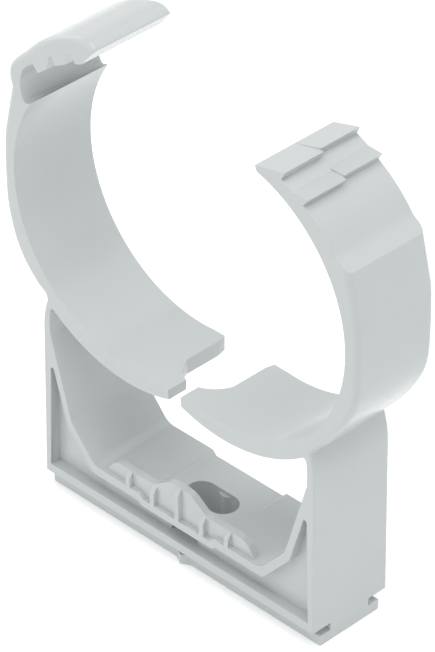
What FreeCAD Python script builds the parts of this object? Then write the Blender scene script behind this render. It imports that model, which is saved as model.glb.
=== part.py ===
import FreeCAD, Part
import math
import os
import re
import Sketcher

# Snap-in pipe clip, moulded in one piece. A frame with a rail foot carries two spring arms, open as
# moulded; pressed round a pipe, the hook of the left arm catches the ratchet of the right one.
# Millimetres, +Z up, pipe along Y, front face at -Y, origin in the middle of the foot's underside.

# Driving dimensions: name, value, meaning. Arm angles count from the level line that points away
# from the middle, upwards positive, about the centre of the arm.

SIZES = (
    ("depth", 20.0, "overall depth along the pipe"),
    # Side walls
    ("half_width", 36.25, "middle to outer wall face, at the foot"),
    ("wall_lean", 0.38, "inward lean of the outer wall face up to its bend"),
    ("wall_bend_rise", 1.15, "from the trough's rim to where the wall starts to curve in"),
    ("wall_curve", 19.0, "radius of the outer wall face above the bend"),
    ("wall_top_inset", 1.82, "where the outer wall face meets the arm, in from the foot's end"),
    ("wall_seat_inset", 2.63, "where the inner wall face meets the arm, in from the foot's end"),
    ("wall_thickness", 1.4, "side wall at its foot"),
    ("upper_wall_thickness", 1.8, "side wall beside and above the trough"),
    ("base_level", 3.95, "underside of the base bar"),
    ("base_thickness", 1.95, "thickness of the base bar"),
    # Trough between the walls
    ("steep_wall", 1.65, "thickness of the trough's steep side"),
    ("slope_wall", 1.8, "thickness of the trough's lower side"),
    ("steep_angle", 16.6, "lean of the steep side, from upright"),
    ("slope_angle", 41.8, "lean of the lower side, from upright"),
    ("knee_inset", 7.65, "where the slope of the trough changes, in from the foot's end"),
    ("knee_level", 19.1, "height where the slope changes"),
    ("knee_blend", 2.5, "radius at the knee"),
    ("floor_level", 12.05, "top of the trough's floor"),
    ("floor_thickness", 1.95, "thickness of the trough's floor"),
    ("floor_blend", 3.4, "radius between floor and lower side"),
    ("under_blend", 1.2, "radius at the corners under the trough"),
    ("pocket_top_width", 0.87, "width of the narrow top of the side pocket"),
    ("rim_blend", 1.5, "radius where the trough leaves the wall"),
    # Sunk middle of the floor, round the screw
    ("sunk_half_length", 9.5, "half length of the sunk floor"),
    ("sunk_drop", 1.0, "drop of the sunk floor"),
    ("sunk_floor_thickness", 1.7, "thickness of the sunk floor"),
    # Web and screw block
    ("web_setback", 2.3, "front of the web behind the frame's face"),
    ("web_thickness", 2.0, "thickness of the web"),
    ("slot_length", 12.1, "screw slot, along the rail"),
    ("slot_shift", 0.2, "middle of the slot beside the centring key, towards the hook"),
    ("slot_width", 6.3, "screw slot, across the rail"),
    ("block_wall", 2.0, "screw block beyond the slot's ends"),
    ("window_width", 7.0, "window in the web in front of the screw"),
    ("key_base", 3.3, "centring key in the slot, width at its root"),
    ("key_tip", 1.34, "centring key in the slot, width at its tip"),
    ("key_height", 0.67, "centring key in the slot, how far it stands out"),
    ("key_drop", 0.8, "top of the centring key below the sunk floor"),
    # Rail foot
    ("flange_height", 2.3, "height of the foot's flange"),
    ("flange_depth", 15.86, "foot's flange, front to back"),
    ("neck_depth", 10.3, "foot's neck, front to back"),
    ("nub_width", 4.0, "V nub on the flange, width"),
    ("nub_height", 1.07, "V nub on the flange, how far it stands out"),
    # Grip rib along the front of the floor, with upright ribs before it
    ("grip_setback", 1.0, "front of the grip rib behind the frame's face"),
    ("grip_thickness", 1.65, "thickness of the grip rib"),
    ("grip_end_run", 2.25, "how far the ends of the grip rib slope, along the rib"),
    ("grip_level", 15.2, "top of the grip rib"),
    ("shoulder_round", 3.0, "radius at the top corners of the grip rib"),
    ("hump_foot_run", 0.55, "foot of the hump beyond the second upright rib's middle"),
    ("hump_run", 4.6, "how far the hump's sides slope, along the rib"),
    ("hump_level", 18.3, "top of the hump"),
    ("hump_round", 5.0, "radius at the foot and the top of the hump"),
    ("rib_width", 1.2, "width of an upright rib"),
    ("rib_pitch", 6.65, "distance between upright ribs"),
    ("rib_slope_height", 1.4, "how far the sloping top of an upright rib drops"),
    # Arms
    ("arm_overhang", 9.64, "how far an open arm stands out beyond the foot's end"),
    ("arm_bottom_level", 36.77, "lowest level of the arms"),
    ("pipe_radius", 30.2, "inner radius of the arms"),
    ("arm_thickness", 3.0, "thickness of the upper arm"),
    ("arm_root_thickness", 3.8, "thickness of the arm below the wall"),
    ("flank_angle", 14.0, "where the straight flank leaves the arm"),
    ("seat_fillet", 0.65, "fillet between inner wall face and arm"),
    ("crotch_fillet", 1.8, "fillet between outer wall face and arm"),
    # Lower ends of the arms
    ("left_tip_x", -1.75, "end of the left arm's tongue"),
    ("right_tip_x", 1.4, "end of the right arm's tongue"),
    ("left_end_x", -6.3, "end of the left arm behind its tongue"),
    ("right_end_x", 5.9, "end of the right arm behind its tongue"),
    ("tongue_angle", 95.0, "where the level top of the tongue leaves the arm, below level"),
    ("tongue_thickness", 2.1, "thickness of the right tongue at its tip"),
    ("tongue_depth", 4.7, "depth of the tongues, front to back"),
    ("end_step_depth", 9.5, "where the ends run straight, from the front"),
    ("end_curve", 7.5, "radius between tongue and end"),
    ("end_chamfer_length", 2.0, "chamfer at the back of the ends, along the pipe"),
    ("end_chamfer_width", 0.5, "chamfer at the back of the ends, across the pipe"),
    # Shoulder and ratchet on the right arm
    ("shoulder_angle", 31.4, "the shoulder's corner, on the line of the flank"),
    ("shoulder_blend", 0.8, "radius of the shoulder's corner"),
    ("bevel_angle", 37.2, "where the shoulder's bevel meets the arm"),
    ("tooth_lead_angle", 1.3, "land at the teeth's own height before the first step"),
    ("ratchet_end_angle", 74.6, "end face of the right arm, inside"),
    ("ratchet_nose_angle", 75.8, "end face of the right arm, outside"),
    ("ratchet_nose_thickness", 1.1, "thickness of the right arm at its end"),
    ("tooth_root_thickness", 3.3, "thickness of the arm at the tooth roots"),
    ("tooth_height", 1.8, "height of a ratchet tooth"),
    ("tooth_pitch", 10.5, "angle between ratchet teeth"),
    ("first_tooth_angle", 64.8, "catching face of the front half's first tooth"),
    ("tooth_stagger", 1.3, "lead of the back half's teeth"),
    ("tooth_ramp", 5.3, "angle of a tooth's sloping back"),
    # Hook on the left arm
    ("ledge_angle", 32.2, "end of the arm's inner face inside the hook"),
    ("waist_angle", 31.08, "the waist below the hook, on the line of the flank"),
    ("side_angle", 32.93, "start of the hook's round side"),
    ("side_reach", 5.91, "start of the hook's round side, beyond the pipe's radius"),
    ("side_curve", 6.6, "radius of the hook's round side"),
    ("side_end_angle", 39.65, "end of the hook's round side"),
    ("side_end_reach", 7.7, "end of the hook's round side, beyond the pipe's radius"),
    ("brow_curve", 36.0, "radius between the hook's side and its crown"),
    ("crown_angle", 53.3, "start of the hook's crown"),
    ("crown_thickness", 3.3, "thickness of the hook over its notches"),
    ("crown_curve", 26.0, "radius of the hook's crown"),
    ("nose_angle", 72.57, "start of the hook's nose"),
    ("nose_reach", 8.21, "start of the hook's nose, beyond the pipe's radius"),
    ("nose_curve", 1.95, "radius of the hook's nose"),
    ("nose_face_angle", 76.27, "front of the hook's nose"),
    ("nose_face_reach", 6.03, "front of the hook's nose, beyond the pipe's radius"),
    ("lip_angle", 70.5, "lip of the hook"),
    ("tooth_fit", 0.05, "room between hook and ratchet, at roots and half of it at tips"),
    ("first_notch_angle", 67.5, "catching face of the notch nearest the lip"),
    ("notch_pitch", 10.2, "angle between notches"),
    ("notch_flat", 1.1, "angle of a notch's flat top"),
    ("notch_ramp", 3.5, "angle of a notch's ramp"),
    ("throat_curve", 6.28, "radius of the hook's throat"),
    ("throat_angle", 35.22, "back of the throat"),
    ("throat_reach", 3.84, "back of the throat, beyond the pipe's radius"),
    ("throat_foot_angle", 31.54, "foot of the throat on the ledge"),
    ("throat_foot_reach", 1.78, "foot of the throat on the ledge, beyond the pipe's radius"),
    ("hook_fillet", 1.2, "fillets at the waist and at the foot of the throat"),
)

# Sizes that follow from the driving ones: name, formula, meaning.

FOLLOWING = (
    ("knee_x", "half_width - knee_inset", "half span of the trough where the slope changes"),
    ("wall_bend_level", "knee_level + (knee_inset - wall_lean - upper_wall_thickness)"
     " / tan(steep_angle) + wall_bend_rise", "height where the outer wall face starts to curve in"),
    ("wall_lean_rate", "wall_lean / (wall_bend_level - base_level)", "lean of the wall per height"),
    ("pocket_top_level", "(knee_inset - upper_wall_thickness - steep_wall / cos(steep_angle)"
     " - pocket_top_width + knee_level * tan(steep_angle) + base_level * wall_lean_rate)"
     " / (tan(steep_angle) + wall_lean_rate)", "height of the narrow top of the side pocket"),
    ("grip_half_length", "3 * rib_pitch", "half length of the grip rib at the floor"),
    ("grip_shoulder_x", "grip_half_length - grip_end_run", "half length of the grip rib at its top"),
    ("hump_foot_x", "rib_pitch + hump_foot_run", "half length of the hump at its foot"),
    ("hump_top_x", "hump_foot_x - hump_run", "half length of the hump at its top"),
    ("arm_radius", "pipe_radius + arm_thickness", "outer radius of the upper arm"),
    ("arm_root_radius", "pipe_radius + arm_root_thickness", "outer radius of the arm below the wall"),
    ("arm_centre_x", "half_width + arm_overhang - arm_radius",
     "arm's centre beside the middle, open as moulded"),
    ("arm_centre_level", "arm_bottom_level + arm_root_radius", "height of the arms' centres"),
    ("wall_top_angle", "acos((half_width - wall_top_inset - arm_centre_x) / arm_radius)",
     "where the outer wall face meets the arm, below level"),
    ("wall_seat_angle", "acos((half_width - wall_seat_inset - arm_centre_x) / arm_root_radius)",
     "where the inner wall face meets the arm, below level"),
    ("arm_root_angle", "(2 * wall_top_angle + wall_seat_angle) / 3",
     "where the arm's thickness changes inside the wall, below level"),
    ("tongue_level", "arm_centre_level + tongue_thickness"
     " - sqrt(pow(arm_root_radius; 2) - pow(arm_centre_x - right_tip_x; 2))",
     "height of the tongues' top at their tips"),
    ("shoulder_level", "arm_centre_level + arm_radius * sin(shoulder_angle)"
     " / cos(shoulder_angle - flank_angle)", "height of the shoulder's corner"),
    ("waist_level", "arm_centre_level + arm_radius * sin(waist_angle) / cos(waist_angle - flank_angle)",
     "height of the waist below the hook"),
    ("tooth_root_radius", "pipe_radius + tooth_root_thickness", "ratchet tooth roots, from the arm's centre"),
    ("tooth_tip_radius", "tooth_root_radius + tooth_height", "ratchet tooth tips, from the arm's centre"),
    ("hook_tooth_radius", "tooth_root_radius - tooth_fit", "hook teeth, from the arm's centre"),
    ("notch_radius", "tooth_tip_radius + 2 * tooth_fit", "notch tops, from the arm's centre"),
)

TOOTH_COUNT = 2
NOTCH_COUNT = 3
UPRIGHT_PLACES = (-2, -1, 0, 1, 2)
LEFT = -1
RIGHT = 1
SAME_PLACE = 0.05
ANTICLOCKWISE = 1
CLOCKWISE = -1

doc = FreeCAD.newDocument("pipe_clip")
sheet = doc.addObject("Spreadsheet::Sheet", "Sizes")
for row, (name, value, meaning) in enumerate(SIZES + FOLLOWING, start=1):
    sheet.set(f"A{row}", meaning)
    sheet.set(f"B{row}", f"={value}")
    sheet.setAlias(f"B{row}", name)
    doc.recompute()
NAMES = {name for name, value, meaning in SIZES + FOLLOWING}


# Formulas

def bound(formula):
    """Return the formula with every size name tied to its cell."""
    return re.sub(r"[a-z_]+", lambda word: f"Sizes.{word[0]}" if word[0] in NAMES else word[0], formula)


def number(formula):
    """Return what a formula comes to with the present sizes."""
    return float(sheet.evalExpression(bound(formula)))


def polar(side, radius, angle):
    """Return the place at a radius and an angle about the centre of one arm."""
    across = f"{side} * (arm_centre_x + ({radius}) * cos({angle}))"
    level = f"arm_centre_level + ({radius}) * sin({angle})"
    return across, level


# Outlines

class Corner:
    """One corner of an outline: its place, its rounding and the arc that leaves it, if any."""

    def __init__(self, place, blend=None, arc=None):
        self.place = place
        self.blend = blend
        self.arc = arc
        self.point = FreeCAD.Vector(number(place[0]), number(place[1]), 0)


def mirrored(corners):
    """Return the corners of the other half of an outline that is alike on both sides."""
    others = []
    for index in reversed(range(len(corners))):
        x, z = corners[index].place
        arc = corners[index - 1].arc if index > 0 else None
        others.append(Corner((f"-({x})", z), corners[index].blend, arc))
    return others


def hold(sketch, kind, formula, *where):
    """Add a constraint whose value follows a formula."""
    index = sketch.addConstraint(Sketcher.Constraint(kind, *where, number(formula)))
    sketch.setExpression(f"Constraints[{index}]", bound(formula))


def draw_arc(sketch, start, end, radius, turn):
    """Draw the short arc from start to end and return it with its first and last point."""
    chord = end - start
    across = FreeCAD.Vector(-chord.y, chord.x, 0).normalize()
    rise = math.sqrt(number(radius) ** 2 - (chord.Length / 2) ** 2)
    centre = (start + end) * 0.5 + across * (rise * turn)
    circle = Part.Circle(centre, FreeCAD.Vector(0, 0, 1), number(radius))
    first, last = (start, end) if turn == ANTICLOCKWISE else (end, start)
    arc = sketch.addGeometry(Part.ArcOfCircle(circle, circle.parameter(first), circle.parameter(last)), False)
    hold(sketch, "Radius", radius, arc)
    return (arc, 1, 2) if turn == ANTICLOCKWISE else (arc, 2, 1)


def draw_outline(sketch, corners):
    """Draw a closed outline; every corner, rounding and arc follows its sizes."""
    count = len(corners)
    arrivals = []
    departures = []
    for index, corner in enumerate(corners):
        back = (corners[index - 1].point - corner.point).normalize()
        ahead = (corners[(index + 1) % count].point - corner.point).normalize()
        reach = number(corner.blend) / math.tan(back.getAngle(ahead) / 2) if corner.blend else 0
        arrivals.append(corner.point + back * reach)
        departures.append(corner.point + ahead * reach)
    edges = []
    for index, corner in enumerate(corners):
        start = departures[index]
        end = arrivals[(index + 1) % count]
        if corner.arc:
            edges.append(draw_arc(sketch, start, end, *corner.arc))
        else:
            edges.append((sketch.addGeometry(Part.LineSegment(start, end), False), 1, 2))
    for index, corner in enumerate(corners):
        before, unused, before_end = edges[index - 1]
        after, after_start, unused = edges[index]
        place = (after, after_start)
        if corner.blend:
            point = sketch.addGeometry(Part.Point(corner.point), True)
            place = (point, 1)
            sketch.addConstraint(Sketcher.Constraint("PointOnObject", point, 1, before))
            sketch.addConstraint(Sketcher.Constraint("PointOnObject", point, 1, after))
            turn = (corner.point - arrivals[index]).cross(departures[index] - corner.point).z
            turn = ANTICLOCKWISE if turn > 0 else CLOCKWISE
            blend, first, last = draw_arc(sketch, arrivals[index], departures[index], corner.blend, turn)
            sketch.addConstraint(Sketcher.Constraint("Tangent", before, before_end, blend, first))
            sketch.addConstraint(Sketcher.Constraint("Tangent", blend, last, after, after_start))
        else:
            sketch.addConstraint(Sketcher.Constraint("Coincident", before, before_end, after, after_start))
        hold(sketch, "DistanceX", corner.place[0], -1, 1, *place)
        hold(sketch, "DistanceY", corner.place[1], -1, 1, *place)


# Features

body = doc.addObject("PartDesign::Body", "pipe_clip")
body.Label = "pipe_clip"


def add_feature(kind, name, plane, lift, length, outlines, reverse):
    """Add a pad or pocket from outlines on a lifted origin plane, and check what it does."""
    before = body.Shape.Volume if body.Tip else 0
    sketch = body.newObject("Sketcher::SketchObject", f"{name}_sketch")
    origin_plane = next(item for item in body.Origin.OriginFeatures if item.Role == plane)
    sketch.AttachmentSupport = [(origin_plane, "")]
    sketch.MapMode = "FlatFace"
    sketch.setExpression(".AttachmentOffset.Base.z", bound(lift))
    for outline in outlines:
        draw_outline(sketch, outline)
    feature = body.newObject(f"PartDesign::{kind}", name)
    feature.Profile = sketch
    feature.Reversed = reverse
    feature.setExpression("Length", bound(length))
    doc.recompute()
    if not sketch.FullyConstrained:
        raise RuntimeError(f"{name}: sketch is not fully constrained")
    grown = body.Shape.Volume - before
    if (kind == "Pad") != (grown > 0) or grown == 0:
        raise RuntimeError(f"{name}: changed the volume by {grown:.3f}")
    print(f"{name}: {grown:+.1f} mm3")
    return feature


def pad_back(name, start, length, *outlines):
    """Pad front-view outlines backwards from a distance behind the front face."""
    return add_feature("Pad", name, "XZ_Plane", f"depth / 2 - ({start})", length, outlines, True)


def cut_back(name, start, length, *outlines):
    """Cut front-view outlines backwards from a distance behind the front face."""
    return add_feature("Pocket", name, "XZ_Plane", f"depth / 2 - ({start})", length, outlines, False)


def pad_up(name, start, length, *outlines):
    """Pad plan-view outlines upwards from a level."""
    return add_feature("Pad", name, "XY_Plane", start, length, outlines, False)


def cut_up(name, start, length, *outlines):
    """Cut plan-view outlines upwards from a level."""
    return add_feature("Pocket", name, "XY_Plane", start, length, outlines, True)


def fillet_along_pipe(name, radius, places):
    """Round the edges that run along the pipe through the given front-view places."""
    points = [(number(x), number(z)) for x, z in places]
    edges = []
    for index, edge in enumerate(body.Shape.Edges, start=1):
        centre = edge.CenterOfMass
        spans = edge.BoundBox.YLength > number("depth") / 4
        if spans and any(math.hypot(centre.x - x, centre.z - z) < SAME_PLACE for x, z in points):
            edges.append(f"Edge{index}")
    if len(edges) < len(points):
        raise RuntimeError(f"{name}: found {len(edges)} of {len(points)} edges")
    rounded = body.Tip
    fillet = body.newObject("PartDesign::Fillet", name)
    fillet.Base = (rounded, edges)
    fillet.setExpression("Radius", bound(radius))
    doc.recompute()


# Frame: side walls, base bar and trough, open between them

outer_x_at_bend = "half_width - wall_lean"
inner_x_at_bend = "half_width - wall_lean - upper_wall_thickness"
rim_level = f"knee_level + ({inner_x_at_bend} - knee_x) / tan(steep_angle)"
base_top = "base_level + base_thickness"
floor_corner_x = "knee_x - (knee_level - floor_level) * tan(slope_angle)"
sunk_level = "floor_level - sunk_drop"
floor_underside = "floor_level - floor_thickness"
sunk_underside = "floor_level - sunk_drop - sunk_floor_thickness"
inside_arm = "pipe_radius + arm_thickness / 2"

frame_right = [
    Corner(("half_width", "base_level")),
    Corner((outer_x_at_bend, "wall_bend_level"), arc=("wall_curve", ANTICLOCKWISE)),
    Corner(polar(RIGHT, "arm_radius", "-wall_top_angle")),
    Corner(polar(RIGHT, inside_arm, "-arm_root_angle")),
    Corner(polar(RIGHT, "arm_root_radius", "-wall_seat_angle"),
           arc=("wall_curve - upper_wall_thickness", CLOCKWISE)),
    Corner((inner_x_at_bend, "wall_bend_level")),
    Corner((inner_x_at_bend, rim_level)),
    Corner(("knee_x", "knee_level"), blend="knee_blend"),
    Corner((floor_corner_x, "floor_level"), blend="floor_blend"),
    Corner(("sunk_half_length + sunk_drop / 2", "floor_level")),
    Corner(("sunk_half_length - sunk_drop / 2", sunk_level)),
]
lean_at_pocket = "wall_lean_rate * (pocket_top_level - base_level)"
steep_offset = "steep_wall / cos(steep_angle)"
slope_offset = "slope_wall / cos(slope_angle)"
under_knee_drop = f"({slope_offset} - {steep_offset}) / (tan(slope_angle) - tan(steep_angle))"
pocket_outer_x = f"half_width - {lean_at_pocket} - upper_wall_thickness"
pocket_inner_x = f"knee_x + (pocket_top_level - knee_level) * tan(steep_angle) + {steep_offset}"
under_knee_x = f"knee_x - {under_knee_drop} * tan(steep_angle) + {steep_offset}"
under_floor_x = f"knee_x - (knee_level - ({floor_underside})) * tan(slope_angle) + {slope_offset}"
pocket_half_gap = f"({pocket_outer_x} - ({pocket_inner_x})) / 2"
pocket_top = (f"{pocket_outer_x} - {pocket_half_gap}", f"pocket_top_level + {pocket_half_gap}")
pocket_quarter = (pocket_half_gap, ANTICLOCKWISE)
pocket_right = [
    Corner(("half_width - wall_thickness", base_top)),
    Corner((pocket_outer_x, "pocket_top_level"), arc=pocket_quarter),
    Corner(pocket_top, arc=pocket_quarter),
    Corner((pocket_inner_x, "pocket_top_level")),
    Corner((under_knee_x, f"knee_level - {under_knee_drop}"), blend="under_blend"),
    Corner((under_floor_x, floor_underside), blend="under_blend"),
    Corner(("sunk_half_length + sunk_drop", floor_underside)),
    Corner(("sunk_half_length", sunk_underside)),
]
pad_back("frame", "0", "depth", frame_right + mirrored(frame_right), pocket_right + mirrored(pocket_right))

# Rail foot under the base bar, with a V nub in the middle of both long sides

foot_outline = [
    Corner(("-flange_depth / 2", "0")),
    Corner(("flange_depth / 2", "0")),
    Corner(("flange_depth / 2", "flange_height")),
    Corner(("neck_depth / 2", "flange_height")),
    Corner(("neck_depth / 2", "base_level + base_thickness / 2")),
    Corner(("-neck_depth / 2", "base_level + base_thickness / 2")),
    Corner(("-neck_depth / 2", "flange_height")),
    Corner(("-flange_depth / 2", "flange_height")),
]
add_feature("Pad", "foot", "YZ_Plane", "-half_width", "2 * half_width", [foot_outline], False)
nub_outline = [
    Corner(("nub_width / 2", "-flange_depth / 2")),
    Corner(("nub_width / 2", "flange_depth / 2")),
    Corner(("0", "flange_depth / 2 + nub_height")),
    Corner(("-nub_width / 2", "flange_depth / 2")),
    Corner(("-nub_width / 2", "-flange_depth / 2")),
    Corner(("0", "-flange_depth / 2 - nub_height")),
]
pad_up("nubs", "0", "flange_height", nub_outline)

# Web across the pockets, and the block that the screw goes through

middle_of_floor = f"({sunk_level} + {floor_underside}) / 2"
web_right = [
    Corner(("half_width - wall_thickness / 2", "base_level + base_thickness / 2")),
    Corner((f"{pocket_outer_x} + upper_wall_thickness / 2", "pocket_top_level + upper_wall_thickness")),
    Corner((f"{pocket_inner_x} - steep_wall / 2", "pocket_top_level + upper_wall_thickness")),
    Corner(("knee_x + steep_wall / 2", "knee_level")),
    Corner((f"{under_floor_x} - slope_wall / 2", middle_of_floor)),
]
pad_back("web", "web_setback", "web_thickness", web_right + mirrored(web_right))
block_right = [
    Corner(("slot_length / 2 + block_wall", "base_level + base_thickness / 2")),
    Corner(("slot_length / 2 + block_wall", middle_of_floor)),
]
pad_back("screw_block", "web_setback", "depth - 2 * web_setback", block_right + mirrored(block_right))
window_right = [
    Corner(("window_width / 2", base_top)),
    Corner(("window_width / 2", sunk_underside)),
]
cut_back("window", "0", "depth / 2", window_right + mirrored(window_right))

# Screw slot, with a centring key down its back side

slot_straight = "(slot_length - slot_width) / 2"
slot_quarter = ("slot_width / 2", ANTICLOCKWISE)
slot_outline = [
    Corner((f"-({slot_straight}) - slot_shift", "-slot_width / 2")),
    Corner((f"{slot_straight} - slot_shift", "-slot_width / 2"), arc=slot_quarter),
    Corner(("slot_length / 2 - slot_shift", "0"), arc=slot_quarter),
    Corner((f"{slot_straight} - slot_shift", "slot_width / 2")),
    Corner((f"-({slot_straight}) - slot_shift", "slot_width / 2"), arc=slot_quarter),
    Corner(("-slot_length / 2 - slot_shift", "0"), arc=slot_quarter),
]
cut_up("slot", "0", "floor_level", slot_outline)
key_outline = [
    Corner(("-key_base / 2", "slot_width / 2 + key_height / 2")),
    Corner(("-key_base / 2", "slot_width / 2")),
    Corner(("-key_tip / 2", "slot_width / 2 - key_height")),
    Corner(("key_tip / 2", "slot_width / 2 - key_height")),
    Corner(("key_base / 2", "slot_width / 2")),
    Corner(("key_base / 2", "slot_width / 2 + key_height / 2")),
]
pad_up("centring_key", "0", f"{sunk_level} - key_drop", key_outline)

# Grip rib along the front of the floor, humped before the screw, with upright ribs on its front

grip_right = [
    Corner(("grip_half_length", middle_of_floor)),
    Corner(("grip_half_length", "floor_level")),
    Corner(("grip_shoulder_x", "grip_level"), blend="shoulder_round"),
    Corner(("hump_foot_x", "grip_level"), blend="hump_round"),
    Corner(("hump_top_x", "hump_level"), blend="hump_round"),
]
pad_back("grip_rib", "grip_setback", "grip_thickness", grip_right + mirrored(grip_right))


def upright_rib(place, top):
    """Return the side view of an upright rib that leans on the grip rib, and its lift from the middle."""
    outline = [
        Corner(("-depth / 2", middle_of_floor)),
        Corner(("grip_setback + grip_thickness / 2 - depth / 2", middle_of_floor)),
        Corner(("grip_setback + grip_thickness / 2 - depth / 2", top)),
        Corner(("grip_setback - depth / 2", top)),
        Corner(("-depth / 2", f"{top} - rib_slope_height")),
    ]
    return f"{place} * rib_pitch - rib_width / 2", outline


for count, place in enumerate(UPRIGHT_PLACES, start=1):
    lift, upright = upright_rib(place, "grip_level" if place else "hump_level")
    add_feature("Pad", f"upright_{count}", "YZ_Plane", lift, "rib_width", [upright], False)

# Arms: rings about their own centres, thicker below the walls and flat-topped at the lower ends


def flank_x(side, level):
    """Return where the straight flank of an arm is at a level."""
    rise = f"({level}) - arm_centre_level - arm_radius * sin(flank_angle)"
    return f"{side} * (arm_centre_x + arm_radius * cos(flank_angle) - ({rise}) * tan(flank_angle))"


def tip_underside(tip_x, side):
    """Return the lower corner of an arm's tip, on the outer circle of the arm."""
    reach = f"pow(arm_root_radius; 2) - pow({side} * arm_centre_x - {tip_x}; 2)"
    return tip_x, f"arm_centre_level - sqrt({reach})"


def lower_arm(side, tip_x):
    """Return the outside of an arm from its tip to the top of its round part."""
    turn = ANTICLOCKWISE * side
    return [
        Corner(tip_underside(tip_x, side), arc=("arm_root_radius", turn)),
        Corner(polar(side, "arm_root_radius", "-arm_root_angle")),
        Corner(polar(side, "arm_radius", "-arm_root_angle"), arc=("arm_radius", turn)),
        Corner(polar(side, "arm_radius", "0"), arc=("arm_radius", turn)),
        Corner(polar(side, "arm_radius", "flank_angle")),
    ]


def inner_arm(side, tip_x, top_angle):
    """Return the inside of an arm from a top angle down to its tip."""
    turn = CLOCKWISE * side
    return [
        Corner(polar(side, "pipe_radius", top_angle), arc=("pipe_radius", turn)),
        Corner(polar(side, "pipe_radius", "-arm_root_angle"), arc=("pipe_radius", turn)),
        Corner(polar(side, "pipe_radius", "-tongue_angle")),
        Corner((tip_x, "tongue_level")),
    ]


waist = (flank_x(LEFT, "waist_level"), "waist_level")
throat_foot = polar(LEFT, "pipe_radius + throat_foot_reach", "throat_foot_angle")
left_arm = lower_arm(LEFT, "left_tip_x")
left_arm += [Corner(waist), Corner(throat_foot)]
left_arm += inner_arm(LEFT, "left_tip_x", "ledge_angle")
pad_back("left_arm", "0", "depth", left_arm)

land_end_angle = f"first_tooth_angle - {TOOTH_COUNT - 1} * tooth_pitch - tooth_lead_angle"
right_arm = lower_arm(RIGHT, "right_tip_x") + [
    Corner((flank_x(RIGHT, "shoulder_level"), "shoulder_level"), blend="shoulder_blend"),
    Corner(polar(RIGHT, "arm_radius", "bevel_angle"), arc=("tooth_root_radius", ANTICLOCKWISE)),
    Corner(polar(RIGHT, "tooth_root_radius", land_end_angle)),
] + inner_arm(RIGHT, "right_tip_x", land_end_angle)
pad_back("right_arm", "0", "depth", right_arm)

# Gap between the lower ends: tongues at the front, ends set back behind them

tongue_back = "tongue_depth - depth / 2"
step_back = "end_step_depth - depth / 2"
past_back = "depth / 2 + end_chamfer_length"
gap_outline = [
    Corner(("left_tip_x", tongue_back), arc=("end_curve", CLOCKWISE)),
    Corner(("left_end_x", step_back)),
    Corner(("left_end_x", "depth / 2 - end_chamfer_length")),
    Corner(("left_end_x - 2 * end_chamfer_width", past_back)),
    Corner(("right_end_x + 2 * end_chamfer_width", past_back)),
    Corner(("right_end_x", "depth / 2 - end_chamfer_length")),
    Corner(("right_end_x", step_back), arc=("end_curve", CLOCKWISE)),
    Corner(("right_tip_x", tongue_back)),
]
cut_up("end_gap", "tongue_level - 2 * arm_root_thickness", "4 * arm_root_thickness", gap_outline)


# Ratchet: two rows of teeth side by side, the back row leading by the stagger


def ratchet_row(first_angle):
    """Return one row of ratchet teeth with the arm under it."""
    row = [
        Corner(polar(RIGHT, "pipe_radius", land_end_angle)),
        Corner(polar(RIGHT, "tooth_root_radius", land_end_angle), arc=("tooth_root_radius", ANTICLOCKWISE)),
    ]
    for tooth in reversed(range(TOOTH_COUNT)):
        catch = f"{first_angle} - {tooth} * tooth_pitch"
        row.append(Corner(polar(RIGHT, "tooth_root_radius", catch)))
        row.append(Corner(polar(RIGHT, "tooth_tip_radius", catch)))
        if tooth:
            row.append(Corner(polar(RIGHT, "tooth_root_radius", f"{catch} + tooth_ramp"),
                              arc=("tooth_root_radius", ANTICLOCKWISE)))
    row.append(Corner(polar(RIGHT, "pipe_radius + ratchet_nose_thickness", "ratchet_nose_angle")))
    row.append(Corner(polar(RIGHT, "pipe_radius", "ratchet_end_angle"), arc=("pipe_radius", CLOCKWISE)))
    return row


pad_back("front_teeth", "0", "depth / 2", ratchet_row("first_tooth_angle"))
pad_back("back_teeth", "depth / 2", "depth / 2", ratchet_row("first_tooth_angle + tooth_stagger"))

# Hook: a curved head over the left arm, notched inside to catch the ratchet

hook = [
    Corner(waist),
    Corner(polar(LEFT, "pipe_radius + side_reach", "side_angle"), arc=("side_curve", CLOCKWISE)),
    Corner(polar(LEFT, "pipe_radius + side_end_reach", "side_end_angle"), arc=("brow_curve", CLOCKWISE)),
    Corner(polar(LEFT, "notch_radius + crown_thickness", "crown_angle"), arc=("crown_curve", CLOCKWISE)),
    Corner(polar(LEFT, "pipe_radius + nose_reach", "nose_angle"), arc=("nose_curve", CLOCKWISE)),
    Corner(polar(LEFT, "pipe_radius + nose_face_reach", "nose_face_angle")),
    Corner(polar(LEFT, "hook_tooth_radius", "lip_angle")),
]
for notch in range(NOTCH_COUNT):
    catch = f"first_notch_angle - {notch} * notch_pitch"
    hook.append(Corner(polar(LEFT, "hook_tooth_radius", catch)))
    hook.append(Corner(polar(LEFT, "notch_radius", catch)))
    if notch < NOTCH_COUNT - 1:
        hook.append(Corner(polar(LEFT, "notch_radius", f"{catch} - notch_flat")))
        hook.append(Corner(polar(LEFT, "hook_tooth_radius", f"{catch} - notch_flat - notch_ramp")))
hook[-1].arc = ("throat_curve", ANTICLOCKWISE)
inside_arm_level = f"{throat_foot[1]} - arm_thickness"
hook += [
    Corner(polar(LEFT, "pipe_radius + throat_reach", "throat_angle")),
    Corner(throat_foot),
    Corner((throat_foot[0], inside_arm_level)),
    Corner((f"{waist[0]} + arm_thickness / 3", inside_arm_level)),
]
pad_back("hook", "0", "depth", hook)

# Fillets

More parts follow.
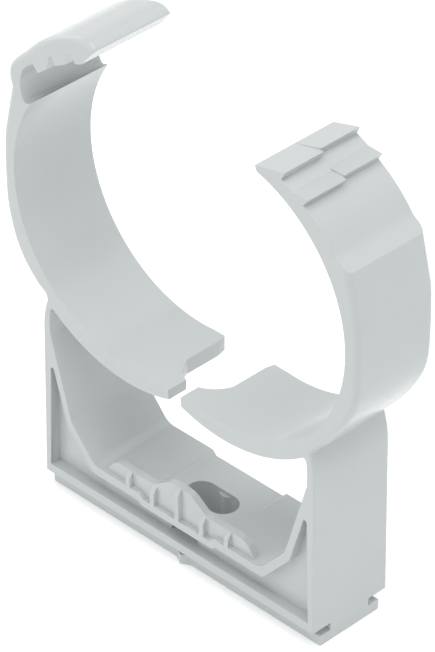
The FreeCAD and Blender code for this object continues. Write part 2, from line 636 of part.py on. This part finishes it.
fillet_along_pipe("hook_fillets", "hook_fillet", [waist, throat_foot])
fillet_along_pipe("seat_fillets", "seat_fillet", [
    polar(LEFT, "arm_root_radius", "-wall_seat_angle"),
    polar(RIGHT, "arm_root_radius", "-wall_seat_angle"),
])
fillet_along_pipe("crotch_fillets", "crotch_fillet", [
    polar(LEFT, "arm_radius", "-wall_top_angle"),
    polar(RIGHT, "arm_radius", "-wall_top_angle"),
])
fillet_along_pipe("rim_fillets", "rim_blend", [
    (inner_x_at_bend, rim_level),
    (f"-({inner_x_at_bend})", rim_level),
])

# Checks and export

doc.recompute()
for item in doc.Objects:
    if "Invalid" in item.State or "Error" in item.State:
        raise RuntimeError(f"{item.Label} failed: {item.State}")
if body.Shape.isNull() or not body.Shape.isValid():
    raise RuntimeError("the clip has no valid shape")
if len(body.Shape.Solids) != 1:
    raise RuntimeError(f"the clip is in {len(body.Shape.Solids)} pieces")
os.makedirs("parts", exist_ok=True)
body.Shape.exportStep(f"parts/{body.Label}.step")
box = body.Shape.optimalBoundingBox(False)
print(f"size {box.XLength:.2f} x {box.YLength:.2f} x {box.ZLength:.2f} mm")
print(f"lowest {box.ZMin:.2f}, highest {box.ZMax:.2f}")
print(f"volume {body.Shape.Volume:.0f} mm3, {len(body.Shape.Faces)} faces")
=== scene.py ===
import logging
import math
from dataclasses import dataclass, field
from enum import Enum

import bmesh
import bpy
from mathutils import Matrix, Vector


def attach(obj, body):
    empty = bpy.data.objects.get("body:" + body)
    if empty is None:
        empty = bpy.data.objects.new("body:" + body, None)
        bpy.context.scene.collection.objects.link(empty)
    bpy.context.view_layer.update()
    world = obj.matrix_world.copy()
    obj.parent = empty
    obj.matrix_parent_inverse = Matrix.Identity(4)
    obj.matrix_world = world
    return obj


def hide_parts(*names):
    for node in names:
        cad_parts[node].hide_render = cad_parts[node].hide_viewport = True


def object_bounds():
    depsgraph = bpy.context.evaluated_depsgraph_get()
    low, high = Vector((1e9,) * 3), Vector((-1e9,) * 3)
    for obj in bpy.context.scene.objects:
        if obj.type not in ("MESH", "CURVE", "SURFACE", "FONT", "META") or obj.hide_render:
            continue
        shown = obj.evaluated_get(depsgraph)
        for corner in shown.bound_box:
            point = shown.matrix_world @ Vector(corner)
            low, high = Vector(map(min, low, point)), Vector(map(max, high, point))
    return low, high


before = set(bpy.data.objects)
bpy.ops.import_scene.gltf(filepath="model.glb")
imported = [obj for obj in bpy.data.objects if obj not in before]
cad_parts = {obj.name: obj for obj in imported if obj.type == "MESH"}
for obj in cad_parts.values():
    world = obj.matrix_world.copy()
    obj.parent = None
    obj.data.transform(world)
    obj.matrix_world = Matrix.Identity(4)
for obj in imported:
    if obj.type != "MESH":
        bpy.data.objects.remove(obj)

# Snap-in pipe clip, moulded in one piece in light grey polypropylene. Metres, +Z up, pipe along Y.

MM = 0.001
CAD_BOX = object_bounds()
log = logging.getLogger("pipe_clip_scene")


def linear(code: str) -> tuple[float, float, float, float]:
    """Turn an sRGB hex colour into linear light.

    Args:
        code: Six hex digits, with or without a hash.

    Returns:
        Red, green, blue and alpha.
    """
    levels = [int(code.lstrip("#")[place:place + 2], 16) / 255 for place in (0, 2, 4)]
    red, green, blue = [v / 12.92 if v <= 0.04045 else ((v + 0.055) / 1.055) ** 2.4 for v in levels]
    return red, green, blue, 1.0


def add_node(
    tree: bpy.types.NodeTree,
    kind: str,
    settings: dict[str, object] | None = None,
    values: dict[str | int, object] | None = None,
    links: dict[str | int, bpy.types.NodeSocket] | None = None,
) -> bpy.types.Node:
    """Add one node with its settings, socket values and incoming links.

    Args:
        tree: Node tree that gets the node.
        kind: Node type, such as ShaderNodeBump.
        settings: Attributes of the node.
        values: Values of its input sockets, by name or number.
        links: Output sockets that feed its input sockets, by name or number.

    Returns:
        The new node.
    """
    node = tree.nodes.new(kind)
    for name, value in (settings or {}).items():
        setattr(node, name, value)
    for name, value in (values or {}).items():
        node.inputs[name].default_value = value
    for name, source in (links or {}).items():
        tree.links.new(source, node.inputs[name])
    return node


def empty_material(name: str) -> bpy.types.Material:
    """Make a node material without any nodes.

    Args:
        name: Name of the material.

    Returns:
        The material.
    """
    material = bpy.data.materials.new(name)
    material.use_nodes = True
    material.node_tree.nodes.clear()
    return material


def white_rays(tree: bpy.types.NodeTree) -> bpy.types.Node:
    """Add a node that is 1 for what the camera sees, straight, mirrored or through glass.

    Args:
        tree: Node tree that gets the nodes.

    Returns:
        The node whose first output is 1 or 0.
    """
    ray = add_node(tree, "ShaderNodeLightPath")
    clear = add_node(
        tree, "ShaderNodeMath", {"operation": "MAXIMUM"},
        links={0: ray.outputs["Is Glossy Ray"], 1: ray.outputs["Is Transmission Ray"]},
    )
    return add_node(
        tree, "ShaderNodeMath", {"operation": "MAXIMUM"},
        links={0: ray.outputs["Is Camera Ray"], 1: clear.outputs[0]},
    )


def way_out(azimuth: float, elevation: float) -> Vector:
    """Give the direction from the clip towards a lamp or the camera.

    Args:
        azimuth: Degrees round from straight in front, towards the ratchet's side.
        elevation: Degrees up from level.

    Returns:
        The direction, one unit long.
    """
    around, up = math.radians(azimuth), math.radians(elevation)
    return Vector((math.sin(around) * math.cos(up), -math.cos(around) * math.cos(up), math.sin(up)))


@dataclass(frozen=True)
class MouldedPolypropylene:
    """Light grey polypropylene, injection moulded against a finely spark-eroded steel tool.

    The eye gets a satin surface with an even fine grain and very faint clouds where the melt
    flowed, and where it is seen at a low angle it shines and fades towards its surround.
    """

    name: str = "moulded_polypropylene_light_grey"
    colour: str = "c9cdcd"
    flow_colour: str = "c4c9c9"
    roughness: float = 0.2
    roughness_spread: float = 0.05
    ior: float = 1.49
    # The real grain is about 0.05 mm; it is drawn coarser, so that the render shows it.
    grain: float = 0.35 * MM
    grain_height: float = 0.004 * MM
    grain_strength: float = 0.5
    flow: float = 14 * MM

    def build(self) -> bpy.types.Material:
        """Make the material: flow clouds in the colour, grain in the bump and the roughness.

        Returns:
            The material.
        """
        material = empty_material(self.name)
        tree = material.node_tree
        place = add_node(tree, "ShaderNodeTexCoord").outputs["Object"]
        clouds = add_node(
            tree, "ShaderNodeTexNoise",
            values={"Scale": 1 / self.flow, "Detail": 3.0, "Roughness": 0.5},
            links={"Vector": place},
        )
        tint = add_node(
            tree, "ShaderNodeMix", {"data_type": "RGBA"},
            {6: linear(self.colour), 7: linear(self.flow_colour)}, {0: clouds.outputs["Fac"]},
        )
        grain = add_node(
            tree, "ShaderNodeTexNoise",
            values={"Scale": 1 / self.grain, "Detail": 2.0, "Roughness": 0.6},
            links={"Vector": place},
        )
        sheen = add_node(
            tree, "ShaderNodeMapRange",
            values={
                "To Min": self.roughness - self.roughness_spread,
                "To Max": self.roughness + self.roughness_spread,
            },
            links={"Value": grain.outputs["Fac"]},
        )
        bump = add_node(
            tree, "ShaderNodeBump",
            values={"Strength": self.grain_strength, "Distance": self.grain_height},
            links={"Height": grain.outputs["Fac"]},
        )
        plastic = add_node(
            tree, "ShaderNodeBsdfPrincipled", values={"IOR": self.ior},
            links={
                "Base Color": tint.outputs[2],
                "Roughness": sheen.outputs["Result"],
                "Normal": bump.outputs["Normal"],
            },
        )
        add_node(tree, "ShaderNodeOutputMaterial", links={"Surface": plastic.outputs["BSDF"]})
        return material


@dataclass(frozen=True)
class MattPaper:
    """White background paper, uncoated, laid on a light table.

    The eye gets a plain white ground without gloss, which still takes the clip's shadow.
    """

    name: str = "matt_white_paper"
    colour: str = "f2f3f3"
    roughness: float = 0.9
    table_colour: str = "ffffff"
    # How strongly the table shows to the eye and in gloss, and how strongly it lights the clip.
    shown_glow: float = 0.35
    cast_glow: float = 0.2

    def build(self) -> bpy.types.Material:
        """Make the material.

        Returns:
            The material.
        """
        material = empty_material(self.name)
        tree = material.node_tree
        glow = add_node(
            tree, "ShaderNodeMath", {"operation": "MULTIPLY_ADD"},
            {1: self.shown_glow - self.cast_glow, 2: self.cast_glow},
            {0: white_rays(tree).outputs[0]},
        )
        paper = add_node(
            tree, "ShaderNodeBsdfPrincipled",
            values={
                "Base Color": linear(self.colour), "Roughness": self.roughness,
                "Emission Color": linear(self.table_colour),
            },
            links={"Emission Strength": glow.outputs[0]},
        )
        add_node(tree, "ShaderNodeOutputMaterial", links={"Surface": paper.outputs["BSDF"]})
        return material


def blend(stations: tuple[tuple[float, float], ...], place: float) -> float:
    """Read a value between stations, level beyond the first and the last.

    Args:
        stations: Places and values, in rising order of place.
        place: Where the value is read.

    Returns:
        The value there.
    """
    if place <= stations[0][0]:
        return stations[0][1]
    for (low, start), (high, end) in zip(stations, stations[1:]):
        if place <= high:
            return start + (end - start) * (place - low) / (high - low)
    return stations[-1][1]


def along(path: tuple[tuple[float, float], ...], share: float) -> Vector:
    """Find the point at a share of a path's length.

    Args:
        path: Points in millimetres, across and up.
        share: 0 at the first point, 1 at the last.

    Returns:
        The point, across and up, in metres.
    """
    points = [Vector(point) for point in path]
    runs = [(end - start).length for start, end in zip(points, points[1:])]
    left = share * sum(runs)
    for start, end, run in zip(points, points[1:], runs):
        if left <= run:
            return start.lerp(end, left / run) * MM
        left -= run
    return points[-1] * MM


@dataclass(frozen=True)
class Redraw:
    """One stretch of the outline that is drawn anew, on the front and on the back end alike.

    The stretch runs from one corner of the solid's outline to another, against the clock as the
    front shows it, and its corners are laid evenly along the new path. Millimetres, across and up.
    """

    start: tuple[float, float]
    end: tuple[float, float]
    path: tuple[tuple[float, float], ...]


@dataclass
class ClipMoulding:
    """The clip itself: one moulding, carried over from the solid and given its rounded edges.

    Both arms, the hook's back and its crown have broadly rounded edges, the legs' outsides have
    narrower ones, and all other edges have the small rounding of a mould.
    """

    node: str = "pipe_clip"
    piece: str = "clip_moulding"
    slot: str = "clip_plastic"
    weld: float = 0.001 * MM
    # Bends: below the first, faces are one plane; from the second a crease shows, from the third
    # an edge is rounded, and from the last it is too thin a lip to round.
    flat_limit: float = math.radians(0.5)
    crease_limit: float = math.radians(10)
    sharp_limit: float = math.radians(25)
    lip_limit: float = math.radians(140)
    # The mould's rounding, and how deep the faces beside an edge must be to take it.
    mould_radius: float = 0.14 * MM
    mould_steps: int = 3
    least_depth: float = 0.32 * MM
    flat_weight: int = 50
    # Places on the solid, in millimetres.
    arm_centre: tuple[float, float] = (12.69, 70.77)
    arm_middle_radius: float = 32.0
    half_width: float = 45.89
    end_place: float = 10.0
    place_room: float = 0.001
    # Shares of a face's normal: along the pipe for an end and for a wall, outwards for an arm's
    # and a leg's outside, and between two walls for a smooth run.
    end_share: float = 0.99
    wall_share: float = 0.5
    arm_share: float = 0.3
    leg_share: float = 0.4
    smooth_share: float = 0.98
    # How far the arms are filled out and how broadly their edges are rounded, in millimetres, by
    # the angle round the arm's centre, in degrees up from straight out. At the widest point the
    # arms already touch the solid's box, and within widest_angle of it they are held inside it.
    widest_angle: float = 30.0
    hook_fullness: tuple[tuple[float, float], ...] = (
        (-47.5, 0.0), (-43, 0.9), (-38, 1.4), (-32, 1.6), (-26, 1.45), (-21, 1.15), (-17, 0.95),
        (-13, 0.68), (-9, 0.36), (-5, 0.11), (0, 0.0), (5, 0.11), (9, 0.36), (13, 0.65), (17, 0.85),
        (21, 1.0), (28, 1.1), (36, 1.1), (41, 0.5), (46, 0.0),
    )
    ratchet_fullness: tuple[tuple[float, float], ...] = (
        (-47.5, 0.0), (-42, 0.4), (-34, 0.45), (-26, 0.68), (-21, 0.88), (-17, 0.88), (-13, 0.68),
        (-9, 0.36), (-5, 0.11), (0, 0.0), (5, 0.11), (9, 0.36), (14, 0.75), (30, 0.0),
    )
    hook_rounding: tuple[tuple[float, float], ...] = (
        (-48, 0.35), (-40, 1.2), (-20, 1.4), (0, 1.2), (20, 1.4), (66, 1.4), (78, 1.2),
    )
    ratchet_rounding: tuple[tuple[float, float], ...] = (
        (-48, 0.35), (-40, 1.2), (-20, 1.4), (0, 1.2), (20, 1.4), (31, 1.4),
    )
    shoulder_angle: float = 30.5
    leg_radius: float = 0.35
    leg_top: float = 46.6
    leg_inside: float = 34.5
    # Where the rounded walls are cut, from the end inwards, so that the rounding follows an arc.
    round_cuts: tuple[float, ...] = (
        0.01, 0.03, 0.065, 0.11, 0.17, 0.24, 0.33, 0.45, 0.6, 0.78, 0.98, 1.18, 1.4,
    )
    # The hook's nose, the throat's groove behind the seat, the shoulder's corner and its slope.
    redraws: tuple[Redraw, ...] = (
        Redraw((-21.29, 105.96), (-25.78, 107.04), (
            (-20.35, 106.45), (-20.9, 106.95), (-21.6, 107.35), (-22.4, 107.58), (-23.2, 107.67),
            (-24.3, 107.55), (-25.78, 107.14),
        )),
        Redraw((-38.25, 86.86), (-40.07, 88.16), (
            (-37.75, 87.68), (-38.4, 87.46), (-38.85, 87.22), (-39.2, 87.22), (-39.6, 87.5),
            (-39.95, 88.02), (-40.15, 88.6),
        )),
        Redraw((42.47, 88.57), (42.1, 89.07), ((43.35, 88.6),)),
        Redraw((39.13, 90.84), (32.44, 97.83), (
            (40.3, 90.6), (38.7, 92.59), (37.16, 94.16), (35.58, 95.57), (33.96, 96.85),
            (32.44, 97.83),
        )),
    )
    finish: MouldedPolypropylene = field(default_factory=MouldedPolypropylene)

    def build(self) -> bpy.types.Object:
        """Build the moulding, dress it and let it ride.

        Returns:
            The finished piece.
        """
        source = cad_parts[self.node]
        bpy.ops.object.select_all(action="DESELECT")
        moulding = bpy.data.objects.new(self.piece, source.data.copy())
        moulding.data.name = self.piece
        bpy.context.scene.collection.objects.link(moulding)
        shell = bmesh.new()
        shell.from_mesh(moulding.data)
        self.weld_mesh(shell)
        self.fill_arms(shell)
        self.redraw_outline(shell)
        self.mark_edges(shell, self.round_ends(shell))
        shell.to_mesh(moulding.data)
        shell.free()
        self.soften_edges(moulding)
        self.dress(moulding)
        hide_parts(self.node)
        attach(moulding, "root")
        return moulding

    def weld_mesh(self, shell: bmesh.types.BMesh) -> None:
        """Join the loose triangles and merge those that lie in one plane.

        Args:
            shell: Mesh that is welded.
        """
        bmesh.ops.remove_doubles(shell, verts=shell.verts, dist=self.weld)
        bmesh.ops.dissolve_limit(
            shell, angle_limit=self.flat_limit, use_dissolve_boundaries=False,
            verts=shell.verts, edges=shell.edges, delimit={"NORMAL"},
        )

    def polar(self, place: Vector) -> tuple[float, float, Vector]:
        """Give a place's angle and distance from the centre of its own arm.

        Args:
            place: Point of the moulding, in metres.

        Returns:
            Degrees up from straight out, millimetres, and the direction away from the centre.
        """
        side = 1 if place.x > 0 else -1
        across, up = self.arm_centre
        away = Vector((place.x / MM - side * across, 0, place.z / MM - up))
        return math.degrees(math.atan2(away.z, side * away.x)), away.length, away.normalized()

    def at_end(self, place: Vector) -> bool:
        """Tell whether a place lies on the front or the back end."""
        return abs(abs(place.y) / MM - self.end_place) < self.place_room

    def rim_wall(self, edge: bmesh.types.BMEdge) -> bmesh.types.BMFace | None:
        """Find the wall that an edge of an end face borders.

        Args:
            edge: Edge of the moulding.

        Returns:
            The wall, or nothing when the edge isn't one between an end face and a wall.
        """
        walls = [face for face in edge.link_faces if abs(face.normal.y) < self.wall_share]
        at_end = all(self.at_end(corner.co) for corner in edge.verts)
        return walls[0] if at_end and len(edge.link_faces) == 2 and len(walls) == 1 else None

    def on_arm(self, edge: bmesh.types.BMEdge) -> bool:
        """Tell whether an end face's edge runs along the outside of an arm or of the hook.

        Args:
            edge: Edge of the moulding.

        Returns:
            True for an arm's outside, the hook's back and its crown.
        """
        wall = self.rim_wall(edge)
        if wall is None:
            return False
        middle = (edge.verts[0].co + edge.verts[1].co) / 2
        angle, distance, away = self.polar(middle)
        stations = self.ratchet_rounding if middle.x > 0 else self.hook_rounding
        top = self.shoulder_angle if middle.x > 0 else stations[-1][0]
        return (
            distance > self.arm_middle_radius and wall.normal.dot(away) > self.arm_share
            and stations[0][0] < angle < top
        )

    def rim_radius(self, edge: bmesh.types.BMEdge) -> float:
        """Say how broadly an end face's edge is rounded.

        Args:
            edge: Edge of the moulding.

        Returns:
            Radius in metres, 0 where the edge only gets the mould's rounding.
        """
        wall = self.rim_wall(edge)
        if wall is None:
            return 0.0
        middle = (edge.verts[0].co + edge.verts[1].co) / 2
        side = 1 if middle.x > 0 else -1
        if self.on_arm(edge):
            stations = self.ratchet_rounding if side > 0 else self.hook_rounding
            return blend(stations, self.polar(middle)[0]) * MM
        low = middle.z / MM < self.leg_top and abs(middle.x) / MM > self.leg_inside
        return self.leg_radius * MM if low and side * wall.normal.x > self.leg_share else 0.0

    def fill_arms(self, shell: bmesh.types.BMesh) -> None:
        """Bring the outside of both arms out to where their rounded edges need it.

        Args:
            shell: Mesh whose outer corners move.
        """
        reach = self.half_width * MM
        rims = [edge for edge in shell.edges if self.on_arm(edge)]
        for corner in {corner for edge in rims for corner in edge.verts}:
            angle, _, away = self.polar(corner.co)
            stations = self.ratchet_fullness if corner.co.x > 0 else self.hook_fullness
            corner.co += away * blend(stations, angle) * MM
            if abs(angle) < self.widest_angle:
                corner.co.x = max(-reach, min(reach, corner.co.x))

    def redraw_outline(self, shell: bmesh.types.BMesh) -> None:
        """Lay the outline's redrawn stretches along their new paths.

        Args:
            shell: Mesh whose outline changes.
        """
        for way in (-1, 1):
            ends = [
                face for face in shell.faces
                if way * face.normal.y > self.end_share and self.at_end(face.verts[0].co)
            ]
            corners = [loop.vert for loop in max(ends, key=bmesh.types.BMFace.calc_area).loops]
            if way > 0:
                corners.reverse()
            places = [Vector((corner.co.x / MM, corner.co.z / MM)) for corner in corners]
            chosen = []
            for redraw in self.redraws:
                first, last = (
                    min(range(len(places)), key=lambda spot: (places[spot] - Vector(point)).length)
                    for point in (redraw.start, redraw.end)
                )
                count = (last - first) % len(corners) + 1
                stretch = [corners[(first + step) % len(corners)] for step in range(count)]
                chosen.append((redraw, stretch))
            for redraw, stretch in chosen:
                for step, corner in enumerate(stretch):
                    point = along(redraw.path, step / max(1, len(stretch) - 1))
                    corner.co.x, corner.co.z = point
        bmesh.ops.remove_doubles(shell, verts=shell.verts, dist=self.weld)
        shell.normal_update()

    def inward_shift(self, corner: bmesh.types.BMVert) -> tuple[Vector, float]:
        """Find how a corner of an end face moves in, so that its two walls are rounded.

        Args:
            corner: Corner of an end face.

        Returns:
            The shift and the radius, both in metres.
        """
        (one, first), (two, second) = [
            (self.rim_wall(edge).normal, self.rim_radius(edge))
            for edge in corner.link_edges if self.rim_wall(edge)
        ][:2]
        if one.dot(two) > self.smooth_share:
            radius = (first + second) / 2
            return (one + two).normalized() * -radius, radius
        area = one.x * two.z - one.z * two.x
        across = (second * one.z - first * two.z) / area
        up = (first * two.x - second * one.x) / area
        return Vector((across, 0, up)), max(first, second)

    def round_ends(self, shell: bmesh.types.BMesh) -> set[bmesh.types.BMVert]:
        """Round the outside's edges by cutting its walls near the ends and drawing the cuts in.

        Args:
            shell: Mesh whose walls are cut.

        Returns:
            The corners that moved.
        """
        rims = [edge for edge in shell.edges if self.rim_radius(edge) > 0]
        shifts = {}
        for corner in {corner for edge in rims for corner in edge.verts}:
            shifts[self.spot(corner)] = self.inward_shift(corner)
        # Kept in order, each wall once, so that every run numbers the cuts' corners alike.
        walls = list(dict.fromkeys(self.rim_wall(edge) for edge in rims))
        for way in (-1, 1):
            for cut in self.round_cuts:
                parts = [part for wall in walls for part in (wall, *wall.edges, *wall.verts)]
                done = bmesh.ops.bisect_plane(
                    shell, geom=list(dict.fromkeys(parts)), dist=self.weld / 10,
                    plane_co=(0, way * (self.end_place - cut) * MM, 0), plane_no=(0, 1, 0),
                )
                walls = [part for part in done["geom"] if isinstance(part, bmesh.types.BMFace)]
        moved = {
            corner: shifts[self.spot(corner)]
            for corner in shell.verts if self.spot(corner) in shifts
        }
        for corner, (shift, radius) in moved.items():
            left = radius - (self.end_place * MM - abs(corner.co.y))
            if left > 0:
                corner.co += shift * (1 - math.sqrt(max(0.0, 1 - (left / radius) ** 2)))
        shell.normal_update()
        return set(moved)

    def spot(self, corner: bmesh.types.BMVert) -> tuple[int, int, bool]:
        """Name a corner's place across and up, and the half it lies in."""
        return round(corner.co.x / self.weld), round(corner.co.z / self.weld), corner.co.y > 0

    def mark_edges(self, shell: bmesh.types.BMesh, rounded: set[bmesh.types.BMVert]) -> None:
        """Say which edges get the mould's rounding, and which stay creases.

        Args:
            shell: Mesh whose edges are marked.
            rounded: Corners on walls that are rounded already.
        """
        weights = shell.edges.layers.float.new("bevel_weight_edge")
        for edge in shell.edges:
            bend = edge.calc_face_angle(0) if len(edge.link_faces) == 2 else 0
            on_round = rounded.issuperset(edge.verts)
            edge.smooth = bend < (self.sharp_limit if on_round else self.crease_limit)
            least_area = self.least_depth * edge.calc_length()
            roomy = all(face.calc_area() > least_area for face in edge.link_faces)
            if self.sharp_limit <= bend < self.lip_limit and edge.is_convex and roomy:
                edge[weights] = 1.0
                edge.smooth = True
        for face in shell.faces:
            face.smooth = True

    def soften_edges(self, moulding: bpy.types.Object) -> None:
        """Round the marked edges and keep the flat faces flat.

        Args:
            moulding: Piece that gets the rounding.
        """
        bevel = moulding.modifiers.new("edge_rounding", "BEVEL")
        bevel.width = self.mould_radius
        bevel.segments = self.mould_steps
        bevel.limit_method = "WEIGHT"
        bevel.use_clamp_overlap = False
        bevel.loop_slide = False
        flats = moulding.modifiers.new("flat_faces", "WEIGHTED_NORMAL")
        flats.mode = "FACE_AREA"
        flats.weight = self.flat_weight
        flats.keep_sharp = True
        bpy.context.view_layer.objects.active = moulding
        moulding.select_set(True)
        bpy.ops.object.modifier_apply(modifier=bevel.name)
        bpy.ops.object.modifier_apply(modifier=flats.name)
        moulding.select_set(False)

    def dress(self, moulding: bpy.types.Object) -> None:
        """Give the moulding its plastic."""
        moulding.data.materials.clear()
        moulding.data.materials.append(self.finish.build())


class LampRole(Enum):
    """What each studio lamp is for."""

    FRONT = "front"
    SIDE = "side"
    TOP = "top"
    LEFT = "left"
    BACK = "back"


@dataclass(frozen=True)
class Softbox:
    """One square studio lamp: where it stands, how large it is and how much light it gives.

    Degrees, metres and watts.
    """

    role: LampRole
    azimuth: float
    elevation: float
    distance: float
    size: float
    power: float
    colour: str = "ffffff"

    def build(self, target: Vector) -> bpy.types.Object:
        """Place the lamp and aim it.

        Args:
            target: Point that the lamp looks at.

        Returns:
            The lamp.
        """
        lamp = bpy.data.lights.new(f"softbox_{self.role.value}", "AREA")
        lamp.shape = "SQUARE"
        lamp.size = self.size
        lamp.energy = self.power
        lamp.color = linear(self.colour)[:3]
        holder = bpy.data.objects.new(lamp.name, lamp)
        bpy.context.scene.collection.objects.link(holder)
        away = way_out(self.azimuth, self.elevation)
        holder.location = target + away * self.distance
        holder.rotation_euler = (-away).to_track_quat("-Z", "Y").to_euler()
        return holder


@dataclass
class Studio:
    """White floor and surround, soft lamps and the camera.

    Metres and degrees, with the lens and the sensor in millimetres.
    """

    floor_size: float = 6.0
    # Keeps the foot's underside and the floor from lying in one plane.
    floor_gap: float = 0.05 * MM
    paper: MattPaper = field(default_factory=MattPaper)
    surround_colour: str = "ffffff"
    surround_light: float = 0.5
    surround_shown: float = 1.0
    camera_place: tuple[float, float, float] = (0.4618, -0.4606, 0.5125)
    camera_azimuth: float = 45.0
    camera_elevation: float = 35.264
    lens: float = 237.0
    sensor: float = 36.0
    near_clip: float = 0.01
    far_clip: float = 20.0
    lamps: tuple[Softbox, ...] = (
        Softbox(LampRole.FRONT, -28, 20, 1.0, 0.8, 1.5),
        Softbox(LampRole.SIDE, 112, 9, 0.8, 0.5, 0.44, "e3ebff"),
        Softbox(LampRole.TOP, 40, 78, 0.9, 0.8, 4.35),
        Softbox(LampRole.LEFT, -95, 20, 1.0, 0.7, 1.2),
        Softbox(LampRole.BACK, 170, 40, 1.0, 0.8, 1.4),
    )

    def build(self) -> None:
        """Set up floor, surround, lamps, camera and view."""
        low, high = CAD_BOX
        target = (low + high) / 2
        self.lay_floor(low.z - self.floor_gap)
        self.surround()
        for lamp in self.lamps:
            lamp.build(target)
        self.place_camera()
        bpy.context.scene.view_settings.view_transform = "Standard"

    def lay_floor(self, level: float) -> None:
        """Lay the paper floor.

        Args:
            level: Height of the floor.
        """
        bpy.ops.object.select_all(action="DESELECT")
        bpy.ops.mesh.primitive_plane_add(size=self.floor_size, location=(0, 0, level))
        floor = bpy.context.object
        floor.name = "floor"
        floor.data.materials.append(self.paper.build())

    def surround(self) -> None:
        """Light the clip from all round, and show white behind it."""
        world = bpy.data.worlds.new("white_surround")
        world.use_nodes = True
        tree = world.node_tree
        tree.nodes.clear()
        seen = white_rays(tree)
        light = add_node(
            tree, "ShaderNodeBackground",
            values={"Color": linear(self.surround_colour), "Strength": self.surround_light},
        )
        white = add_node(
            tree, "ShaderNodeBackground",
            values={"Color": linear(self.surround_colour), "Strength": self.surround_shown},
        )
        mixed = add_node(
            tree, "ShaderNodeMixShader",
            links={0: seen.outputs[0], 1: light.outputs[0], 2: white.outputs[0]},
        )
        add_node(tree, "ShaderNodeOutputWorld", links={"Surface": mixed.outputs[0]})
        bpy.context.scene.world = world

    def place_camera(self) -> None:
        """Place the camera at the photograph's viewing angle."""
        camera = bpy.data.cameras.new("camera")
        camera.lens = self.lens
        camera.sensor_width = self.sensor
        camera.clip_start = self.near_clip
        camera.clip_end = self.far_clip
        holder = bpy.data.objects.new("camera", camera)
        bpy.context.scene.collection.objects.link(holder)
        ahead = -way_out(self.camera_azimuth, self.camera_elevation)
        holder.location = self.camera_place
        holder.rotation_euler = ahead.to_track_quat("-Z", "Y").to_euler()
        bpy.context.scene.camera = holder


def main() -> None:
    """Build the clip and its studio, and report each piece."""
    logging.basicConfig(level=logging.INFO, format="%(message)s")
    moulding = ClipMoulding().build()
    log.info("%s: %d faces", moulding.name, len(moulding.data.polygons))
    Studio().build()


if __name__ == "__main__":
    main()
